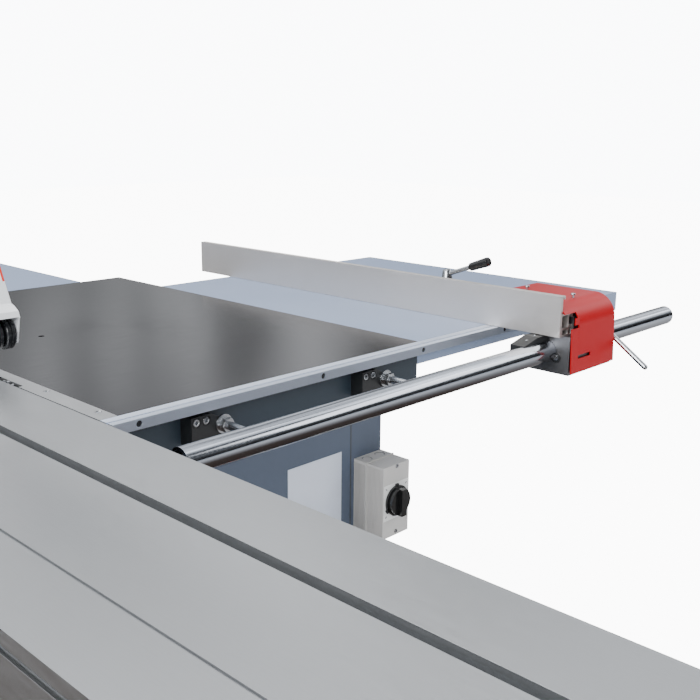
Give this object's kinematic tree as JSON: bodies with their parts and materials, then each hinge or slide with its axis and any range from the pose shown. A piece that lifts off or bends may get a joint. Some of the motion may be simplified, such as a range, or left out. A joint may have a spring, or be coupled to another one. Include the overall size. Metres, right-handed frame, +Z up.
{
  "type": "sliding table saw",
  "caption": "Cabinet table saw with a sliding carriage and outrigger on the left, cast iron table, extension tables, rip fence on a round bar and a guard hood over the tilting blade.",
  "frame": {"origin": "On the floor, straight below the tilt axis at the middle of the main blade, which is also the middle of the overall box.", "axes": "+X towards the rip fence and the right table, +Y from the operator along the cut, +Z up. The sliding carriage is on -X."},
  "size_m": [2.576, 2.653, 1.03],
  "materials": {
    "cabinet_paint": "satin",
    "table_paint": "satin",
    "dark_paint": "satin",
    "machine_paint": "satin",
    "motor_paint": "satin",
    "ground_iron": "ground",
    "head_iron": "machined",
    "bracket_black": "satin",
    "anodised": "satin",
    "fence_alloy": "satin",
    "insert_alloy": "brushed",
    "bright_steel": "polished",
    "ground_steel": "ground",
    "blade_steel": "ground",
    "cage_brass": "satin",
    "cover_red": "gloss",
    "hood_white": "gloss",
    "black_plastic": "matte",
    "black_rubber": "matte",
    "switch_grey": "matte",
    "button_green": "gloss",
    "button_red": "gloss"
  },
  "bodies": {
    "machine": {"cabinet_front": "cabinet_paint", "cabinet_rear": "cabinet_paint", "cabinet_sides": "cabinet_paint", "cabinet_base": "cabinet_paint", "levelling_feet": "black_plastic", "dust_outlet": "black_plastic", "cast_table": "ground_iron", "table_insert": "insert_alloy", "rear_table": "table_paint", "right_table": "table_paint", "table_struts": "dark_paint", "front_rail": "fence_alloy", "socket_screws": "bright_steel", "bar_brackets": "bracket_black", "bar_studs": "bright_steel", "fence_bar": "ground_steel", "beam_mounts": "dark_paint", "slide_beam": "anodised", "arm_bracket": "dark_paint", "trunnions": "dark_paint", "switch_base": "switch_grey", "switch_lid": "switch_grey", "control_box": "switch_grey"},
    "door": {"service_door": "cabinet_paint"},
    "latch": {"door_latch": "black_plastic"},
    "fence_carrier": {"fence_head": "head_iron", "fence_cover": "cover_red", "bar_slider": "black_plastic"},
    "rip_profile": {"fence_profile": "fence_alloy"},
    "clamp_handle": {"fence_clamp": "bright_steel"},
    "lock_lever": {"bar_lever": "bright_steel"},
    "balls": {"ball_carriage": "cage_brass"},
    "carriage": {"sliding_carriage": "anodised", "end_caps": "black_plastic", "outrigger_frame": "table_paint"},
    "crosscut": {"crosscut_fence": "fence_alloy"},
    "stop": {"flip_stop": "black_plastic"},
    "arm": {"swing_arm": "dark_paint"},
    "arm_tube": {"arm_extension": "dark_paint"},
    "tilting": {"tilt_frame": "machine_paint", "guide_rods": "bright_steel", "scoring_arm": "machine_paint"},
    "rising": {"rise_block": "machine_paint", "arbor_bearings": "bright_steel", "drive_belt": "black_rubber", "motor": "motor_paint", "riving_knife": "ground_steel"},
    "main_shaft": {"arbor": "bright_steel", "saw_blade": "blade_steel", "arbor_nut": "bright_steel"},
    "motor_shaft": {"motor_pulley": "head_iron"},
    "scoring_shaft": {"scoring_blade": "blade_steel"},
    "guard": {"guard_hood": "hood_white"},
    "rollers": {"guard_rollers": "black_rubber"},
    "hood_knob": {"guard_knob": "black_plastic"},
    "height_wheel": {"rise_wheel": "black_plastic"},
    "angle_wheel": {"tilt_wheel": "black_plastic"},
    "main_knob": {"switch_knob": "black_plastic"},
    "green_button": {"start_button": "button_green"},
    "red_button": {"stop_button": "button_red"}
  },
  "joints": [
    {"name": "door_hinge", "type": "hinge", "parent": "machine", "child": "door", "pos_m": [0.472, 0.434, 0.31], "axis": [0, 0, 1], "range_deg": [-110, 0]},
    {"name": "latch_turn", "type": "hinge", "parent": "door", "child": "latch", "pos_m": [0.138, 0.44, 0.31], "axis": [0, 1, 0], "range_deg": [0, 90]},
    {"name": "fence_slide", "type": "slide", "parent": "machine", "child": "fence_carrier", "axis": [1, 0, 0], "range_m": [-0.69, 0.31]},
    {"name": "profile_slide", "type": "slide", "parent": "fence_carrier", "child": "rip_profile", "axis": [0, 1, 0], "range_m": [0, 0.4]},
    {"name": "clamp_turn", "type": "hinge", "parent": "fence_carrier", "child": "clamp_handle", "pos_m": [0.8698, -0.304, 0.9], "axis": [0, 0, 1], "range_deg": [-20, 90]},
    {"name": "lever_turn", "type": "hinge", "parent": "fence_carrier", "child": "lock_lever", "pos_m": [0.964, -0.562, 0.862], "axis": [1, 0, 0], "range_deg": [-70, 0]},
    {"name": "carriage_slide", "type": "slide", "parent": "machine", "child": "carriage", "axis": [0, 1, 0], "range_m": [-1.23, 1.23]},
    {"name": "ball_slide", "type": "slide", "parent": "machine", "child": "balls", "axis": [0, 1, 0], "range_m": [-0.615, 0.615]},
    {"name": "cross_pivot", "type": "hinge", "parent": "carriage", "child": "crosscut", "pos_m": [-0.1025, 0.287, 0.85], "axis": [0, 0, 1], "range_deg": [-45, 45]},
    {"name": "stop_flip", "type": "hinge", "parent": "crosscut", "child": "stop", "pos_m": [-0.7, 0.287, 0.9263], "axis": [1, 0, 0], "range_deg": [-110, 0]},
    {"name": "arm_swing", "type": "hinge", "parent": "machine", "child": "arm", "pos_m": [-0.285, 0, 0.58], "axis": [0, 0, 1], "range_deg": [-50, 50]},
    {"name": "arm_reach", "type": "slide", "parent": "arm", "child": "arm_tube", "axis": [-1, 0, 0], "range_m": [0, 0.57]},
    {"name": "saw_tilt", "type": "hinge", "parent": "machine", "child": "tilting", "pos_m": [0, 0, 0.85], "axis": [0, 1, 0], "range_deg": [0, 45]},
    {"name": "saw_rise", "type": "slide", "parent": "tilting", "child": "rising", "axis": [0, 0, 1], "range_m": [-0.1, 0]},
    {"name": "arbor_spin", "type": "hinge", "parent": "rising", "child": "main_shaft", "pos_m": [0, 0, 0.7925], "axis": [1, 0, 0], "continuous": true},
    {"name": "motor_spin", "type": "hinge", "parent": "rising", "child": "motor_shaft", "pos_m": [0.113, 0, 0.6], "axis": [1, 0, 0], "continuous": true},
    {"name": "scoring_spin", "type": "hinge", "parent": "tilting", "child": "scoring_shaft", "pos_m": [0, -0.212, 0.802], "axis": [1, 0, 0], "continuous": true},
    {"name": "guard_lift", "type": "slide", "parent": "rising", "child": "guard", "axis": [0, 0, 1], "range_m": [0, 0.09]},
    {"name": "roller_spin", "type": "hinge", "parent": "guard", "child": "rollers", "pos_m": [0, -0.196, 0.916], "axis": [1, 0, 0], "continuous": true},
    {"name": "knob_turn", "type": "hinge", "parent": "guard", "child": "hood_knob", "pos_m": [0, 0.166, 0.905], "axis": [1, 0, 0], "range_deg": [0, 180]},
    {"name": "height_turn", "type": "hinge", "parent": "tilting", "child": "height_wheel", "pos_m": [0.075, -0.45, 0.55], "axis": [0, 1, 0], "range_deg": [0, 460]},
    {"name": "angle_turn", "type": "hinge", "parent": "machine", "child": "angle_wheel", "pos_m": [0.56, -0.294, 0.5935], "axis": [1, 0, 0], "range_deg": [0, 2900]},
    {"name": "main_switch", "type": "hinge", "parent": "machine", "child": "main_knob", "pos_m": [0.5115, -0.49, 0.605], "axis": [0, 1, 0], "range_deg": [0, 90]},
    {"name": "green_press", "type": "slide", "parent": "machine", "child": "green_button", "axis": [0, 1, 0], "range_m": [0, 0.004], "stiffness_N_per_m": 400},
    {"name": "red_press", "type": "slide", "parent": "machine", "child": "red_button", "axis": [0, 1, 0], "range_m": [0, 0.004], "stiffness_N_per_m": 400}
  ],
  "couplings": [
    {"joint": "ball_slide", "follows": "carriage_slide", "ratio": 0.5},
    {"joint": "motor_spin", "follows": "arbor_spin", "ratio": 0.71111},
    {"joint": "guard_lift", "follows": "saw_rise", "ratio": -0.9},
    {"joint": "height_turn", "follows": "saw_rise", "rad_per_m": -80},
    {"joint": "angle_turn", "follows": "saw_tilt", "ratio": 64.1}
  ]
}
